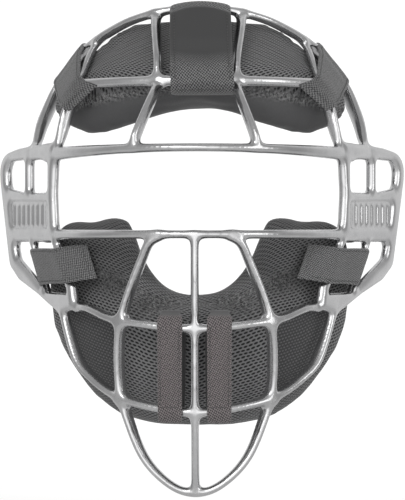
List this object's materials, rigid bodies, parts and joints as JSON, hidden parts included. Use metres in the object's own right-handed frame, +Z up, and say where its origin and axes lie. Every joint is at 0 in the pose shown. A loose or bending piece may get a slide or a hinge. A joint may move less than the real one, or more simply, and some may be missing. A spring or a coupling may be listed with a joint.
{
  "type": "catchers mask",
  "caption": "Open-frame ball sports face mask: cast cage with ear guards and throat loop, padded forehead and U-shaped chin pads held by fold-over tabs.",
  "frame": {"origin": "between the wearer's eyes, at the middle of the eye port's height and 60 mm behind the foremost bars", "axes": "+Z up, -Y the way the mask faces, +X to the right as seen from the front"},
  "size_m": [0.2208, 0.1162, 0.261],
  "materials": {
    "cast_alloy": "satin, light metal casting",
    "pad_mesh": "coarse spacer mesh",
    "pad_knit": "fine smooth knit",
    "pad_foam": "closed-cell foam",
    "strap_web": "woven webbing, hook-and-loop"
  },
  "bodies": {
    "mask": {"brow_post_left": "cast_alloy", "brow_post_right": "cast_alloy", "centre_bar": "cast_alloy", "cheek_bar_left": "cast_alloy", "cheek_bar_right": "cast_alloy", "cheek_tab_left_root": "strap_web", "cheek_tab_right_root": "strap_web", "chin_pad_cover": "pad_mesh", "chin_pad_foam": "pad_foam", "chin_pad_liner": "pad_knit", "chin_post_left": "cast_alloy", "chin_post_right": "cast_alloy", "chin_tab_left_root": "strap_web", "chin_tab_right_root": "strap_web", "crown_bar": "cast_alloy", "crown_post_left": "cast_alloy", "crown_post_right": "cast_alloy", "ear_guard_left": "cast_alloy", "ear_guard_right": "cast_alloy", "ear_web_left": "cast_alloy", "ear_web_right": "cast_alloy", "forehead_bar": "cast_alloy", "forehead_centre_tab_root": "strap_web", "forehead_pad_cover": "pad_mesh", "forehead_pad_foam": "pad_foam", "forehead_pad_liner": "pad_knit", "forehead_side_tab_left_root": "strap_web", "forehead_side_tab_right_root": "strap_web", "front_leg_left": "cast_alloy", "front_leg_right": "cast_alloy", "jaw_bar_left": "cast_alloy", "jaw_bar_right": "cast_alloy", "lower_chin_bar_left": "cast_alloy", "lower_chin_bar_right": "cast_alloy", "lower_eye_bar": "cast_alloy", "rear_leg_left": "cast_alloy", "rear_leg_right": "cast_alloy", "temple_brace_left": "cast_alloy", "temple_brace_right": "cast_alloy", "throat_guard": "cast_alloy", "upper_chin_bar_left": "cast_alloy", "upper_chin_bar_right": "cast_alloy", "upper_eye_bar": "cast_alloy", "v_bar_left": "cast_alloy", "v_bar_right": "cast_alloy"},
    "cheek_tab_left_flap": {"cheek_tab_left_flap": "strap_web"},
    "cheek_tab_right_flap": {"cheek_tab_right_flap": "strap_web"},
    "chin_tab_left_flap": {"chin_tab_left_flap": "strap_web"},
    "chin_tab_right_flap": {"chin_tab_right_flap": "strap_web"},
    "forehead_centre_tab_flap": {"forehead_centre_tab_flap": "strap_web"},
    "forehead_side_tab_left_flap": {"forehead_side_tab_left_flap": "strap_web"},
    "forehead_side_tab_right_flap": {"forehead_side_tab_right_flap": "strap_web"}
  },
  "joints": [
    {"name": "cheek_tab_left_fold", "type": "hinge", "parent": "mask", "child": "cheek_tab_left_flap", "pos_m": [-0.0908, 0.00756, -0.039], "axis": [0.2922, -0.4588, -0.8391], "range_deg": [0, 150]},
    {"name": "cheek_tab_right_fold", "type": "hinge", "parent": "mask", "child": "cheek_tab_right_flap", "pos_m": [0.0908, 0.00756, -0.039], "axis": [0.2922, 0.4588, 0.8391], "range_deg": [0, 150]},
    {"name": "chin_tab_left_fold", "type": "hinge", "parent": "mask", "child": "chin_tab_left_flap", "pos_m": [-0.0126, -0.063, -0.0641], "axis": [-1, 0, 0], "range_deg": [0, 150]},
    {"name": "chin_tab_right_fold", "type": "hinge", "parent": "mask", "child": "chin_tab_right_flap", "pos_m": [0.0126, -0.063, -0.0641], "axis": [-1, 0, 0], "range_deg": [0, 150]},
    {"name": "forehead_centre_tab_fold", "type": "hinge", "parent": "mask", "child": "forehead_centre_tab_flap", "pos_m": [0, -0.00239, 0.10358], "axis": [-1, 0, 0], "range_deg": [0, 150]},
    {"name": "forehead_side_tab_left_fold", "type": "hinge", "parent": "mask", "child": "forehead_side_tab_left_flap", "pos_m": [-0.07913, 0.03936, 0.07466], "axis": [-0.6091, 0.2508, -0.7524], "range_deg": [0, 150]},
    {"name": "forehead_side_tab_right_fold", "type": "hinge", "parent": "mask", "child": "forehead_side_tab_right_flap", "pos_m": [0.07913, 0.03936, 0.07466], "axis": [-0.6091, -0.2508, 0.7524], "range_deg": [0, 150]}
  ]
}
